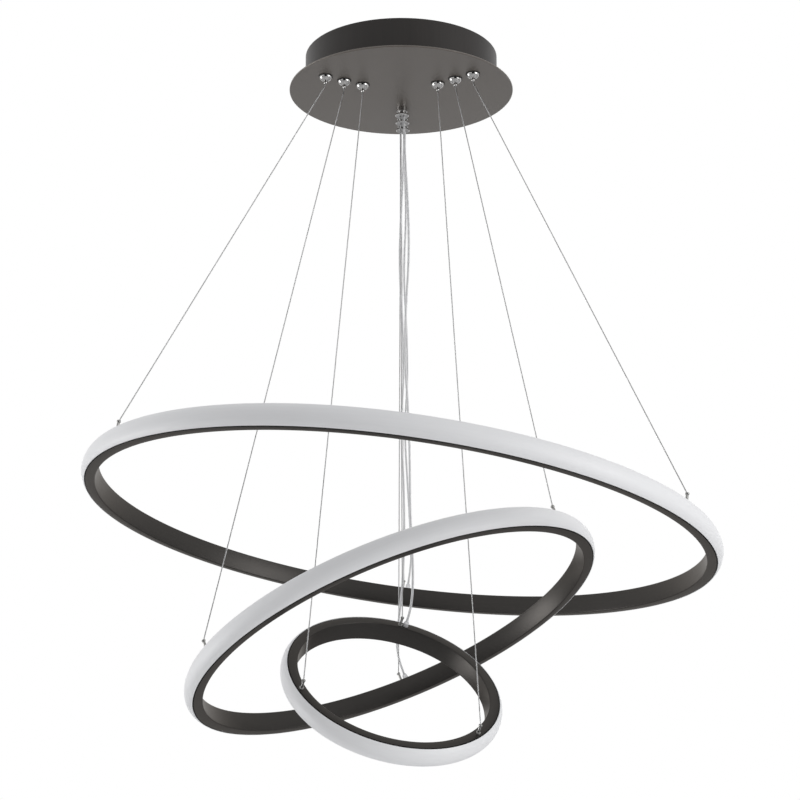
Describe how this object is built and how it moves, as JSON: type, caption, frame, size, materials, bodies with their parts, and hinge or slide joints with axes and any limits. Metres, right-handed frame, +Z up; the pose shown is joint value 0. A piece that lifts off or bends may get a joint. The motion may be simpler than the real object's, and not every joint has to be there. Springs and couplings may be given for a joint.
{
  "type": "ring chandelier",
  "caption": "Hanging ceiling light: tilted light rings, one below the other, on adjustable steel wires and clear power cords from a round ceiling canopy.",
  "frame": {"origin": "middle of the mounting bracket's upper face, in the plane of the ceiling", "axes": "+Z up into the ceiling, +X to the right along the mounting bracket as seen from the front, +Y away from the viewer, towards the grips that hold wire and power cord together; the rings hang below the origin"},
  "size_m": [0.6085, 0.6089, 0.7097],
  "materials": {
    "lead_insulation": "one lead brown, one blue",
    "drum_paint": "dark warm grey satin paint",
    "plate_paint": "warm mid grey satin paint",
    "zinc_steel": "bright zinc plate",
    "driver_case": "fine matt moulding",
    "connector_plastic": "milky polyamide",
    "chrome": "polished",
    "ring_aluminium": "dark bronze-grey anodised",
    "satin_diffuser": "satin white, translucent",
    "strip_board": "white solder mask",
    "nickel_steel": "satin nickel",
    "clear_gland": "clear moulding",
    "steel_wire": "stranded",
    "clear_cord": "clear sheath over tinned cores"
  },
  "bodies": {
    "canopy": {"mounting_bracket": "zinc_steel", "side_screws": "zinc_steel", "canopy_drum": "drum_paint", "canopy_plate": "plate_paint", "plate_nuts": "zinc_steel", "led_driver": "driver_case", "driver_screws": "zinc_steel", "terminal_block": "connector_plastic", "mains_leads": "lead_insulation", "front_grips": "chrome", "back_grips": "chrome", "grip_nuts": "zinc_steel", "large_left_wire": "steel_wire", "large_right_wire": "steel_wire", "large_back_wire": "steel_wire", "large_power_cord": "clear_cord", "medium_left_wire": "steel_wire", "medium_right_wire": "steel_wire", "medium_back_wire": "steel_wire", "medium_power_cord": "clear_cord", "small_left_wire": "steel_wire", "small_right_wire": "steel_wire", "small_back_wire": "steel_wire", "small_power_cord": "clear_cord"},
    "large_left_sleeve": {"large_left_release": "chrome"},
    "large_right_sleeve": {"large_right_release": "chrome"},
    "large_back_sleeve": {"large_back_release": "chrome"},
    "large_left_pivot": {"large_left_end_ball": "nickel_steel"},
    "large_right_pivot": {"large_right_end_ball": "nickel_steel"},
    "large_ring": {"large_ring_channel": "ring_aluminium", "large_diffuser": "satin_diffuser", "large_led_strip": "strip_board", "large_splice_bar": "zinc_steel", "large_wire_terminals": "nickel_steel", "large_cord_gland": "clear_gland", "large_back_end_ball": "nickel_steel"},
    "medium_left_sleeve": {"medium_left_release": "chrome"},
    "medium_right_sleeve": {"medium_right_release": "chrome"},
    "medium_back_sleeve": {"medium_back_release": "chrome"},
    "medium_left_pivot": {"medium_left_end_ball": "nickel_steel"},
    "medium_right_pivot": {"medium_right_end_ball": "nickel_steel"},
    "medium_ring": {"medium_ring_channel": "ring_aluminium", "medium_diffuser": "satin_diffuser", "medium_led_strip": "strip_board", "medium_splice_bar": "zinc_steel", "medium_wire_terminals": "nickel_steel", "medium_cord_gland": "clear_gland", "medium_back_end_ball": "nickel_steel"},
    "small_left_sleeve": {"small_left_release": "chrome"},
    "small_right_sleeve": {"small_right_release": "chrome"},
    "small_back_sleeve": {"small_back_release": "chrome"},
    "small_left_pivot": {"small_left_end_ball": "nickel_steel"},
    "small_right_pivot": {"small_right_end_ball": "nickel_steel"},
    "small_ring": {"small_ring_channel": "ring_aluminium", "small_diffuser": "satin_diffuser", "small_led_strip": "strip_board", "small_splice_bar": "zinc_steel", "small_wire_terminals": "nickel_steel", "small_cord_gland": "clear_gland", "small_back_end_ball": "nickel_steel"}
  },
  "joints": [
    {"name": "large_left_release_push", "type": "slide", "parent": "canopy", "child": "large_left_sleeve", "axis": [0, 0, 1], "range_m": [0, 0.0015], "stiffness_N_per_m": 300, "springref_m": -0.002},
    {"name": "large_right_release_push", "type": "slide", "parent": "canopy", "child": "large_right_sleeve", "axis": [0, 0, 1], "range_m": [0, 0.0015], "stiffness_N_per_m": 300, "springref_m": -0.002},
    {"name": "large_back_release_push", "type": "slide", "parent": "canopy", "child": "large_back_sleeve", "axis": [0, 0, 1], "range_m": [0, 0.0015], "stiffness_N_per_m": 300, "springref_m": -0.002},
    {"name": "large_left_hoist", "type": "hinge", "parent": "canopy", "child": "large_left_pivot", "pos_m": [0.24812, -0.16862, -0.4779], "axis": [-0.4694, 0.8814, -0.0529], "range_deg": [0, 5], "deforming": ["large_left_wire"]},
    {"name": "large_right_hoist", "type": "hinge", "parent": "large_left_pivot", "child": "large_right_pivot", "pos_m": [-0.2501, -0.15364, -0.41089], "axis": [-0.4866, -0.8545, 0.1817], "range_deg": [0, 5], "deforming": ["large_right_wire"]},
    {"name": "large_back_hoist", "type": "hinge", "parent": "large_right_pivot", "child": "large_ring", "pos_m": [-0.2501, -0.15364, -0.41089], "axis": [0.9906, -0.0298, -0.1332], "range_deg": [0, 5], "deforming": ["large_back_wire", "large_power_cord"]},
    {"name": "medium_left_release_push", "type": "slide", "parent": "canopy", "child": "medium_left_sleeve", "axis": [0, 0, 1], "range_m": [0, 0.0015], "stiffness_N_per_m": 300, "springref_m": -0.002},
    {"name": "medium_right_release_push", "type": "slide", "parent": "canopy", "child": "medium_right_sleeve", "axis": [0, 0, 1], "range_m": [0, 0.0015], "stiffness_N_per_m": 300, "springref_m": -0.002},
    {"name": "medium_back_release_push", "type": "slide", "parent": "canopy", "child": "medium_back_sleeve", "axis": [0, 0, 1], "range_m": [0, 0.0015], "stiffness_N_per_m": 300, "springref_m": -0.002},
    {"name": "medium_left_hoist", "type": "hinge", "parent": "canopy", "child": "medium_left_pivot", "pos_m": [0.13865, -0.0862, -0.47697], "axis": [-0.4089, 0.8221, -0.3961], "range_deg": [0, 5], "deforming": ["medium_left_wire"]},
    {"name": "medium_right_hoist", "type": "hinge", "parent": "medium_left_pivot", "child": "medium_right_pivot", "pos_m": [-0.17637, -0.10193, -0.59984], "axis": [-0.5003, -0.8649, 0.0407], "range_deg": [0, 5], "deforming": ["medium_right_wire"]},
    {"name": "medium_back_hoist", "type": "hinge", "parent": "medium_right_pivot", "child": "medium_ring", "pos_m": [-0.17637, -0.10193, -0.59984], "axis": [0.9306, 0.0465, 0.363], "range_deg": [0, 5], "deforming": ["medium_back_wire", "medium_power_cord"]},
    {"name": "small_left_release_push", "type": "slide", "parent": "canopy", "child": "small_left_sleeve", "axis": [0, 0, 1], "range_m": [0, 0.0015], "stiffness_N_per_m": 300, "springref_m": -0.002},
    {"name": "small_right_release_push", "type": "slide", "parent": "canopy", "child": "small_right_sleeve", "axis": [0, 0, 1], "range_m": [0, 0.0015], "stiffness_N_per_m": 300, "springref_m": -0.002},
    {"name": "small_back_release_push", "type": "slide", "parent": "canopy", "child": "small_back_sleeve", "axis": [0, 0, 1], "range_m": [0, 0.0015], "stiffness_N_per_m": 300, "springref_m": -0.002},
    {"name": "small_left_hoist", "type": "hinge", "parent": "canopy", "child": "small_left_pivot", "pos_m": [0.07276, -0.04244, -0.67284], "axis": [-0.414, 0.6637, 0.623], "range_deg": [0, 5], "deforming": ["small_left_wire"]},
    {"name": "small_right_hoist", "type": "hinge", "parent": "small_left_pivot", "child": "small_right_pivot", "pos_m": [-0.08931, -0.05649, -0.63284], "axis": [-0.5281, -0.7517, -0.3951], "range_deg": [0, 5], "deforming": ["small_right_wire"]},
    {"name": "small_back_hoist", "type": "hinge", "parent": "small_right_pivot", "child": "small_ring", "pos_m": [-0.08931, -0.05649, -0.63284], "axis": [0.9674, 0.0839, -0.2388], "range_deg": [0, 5], "deforming": ["small_back_wire", "small_power_cord"]}
  ]
}
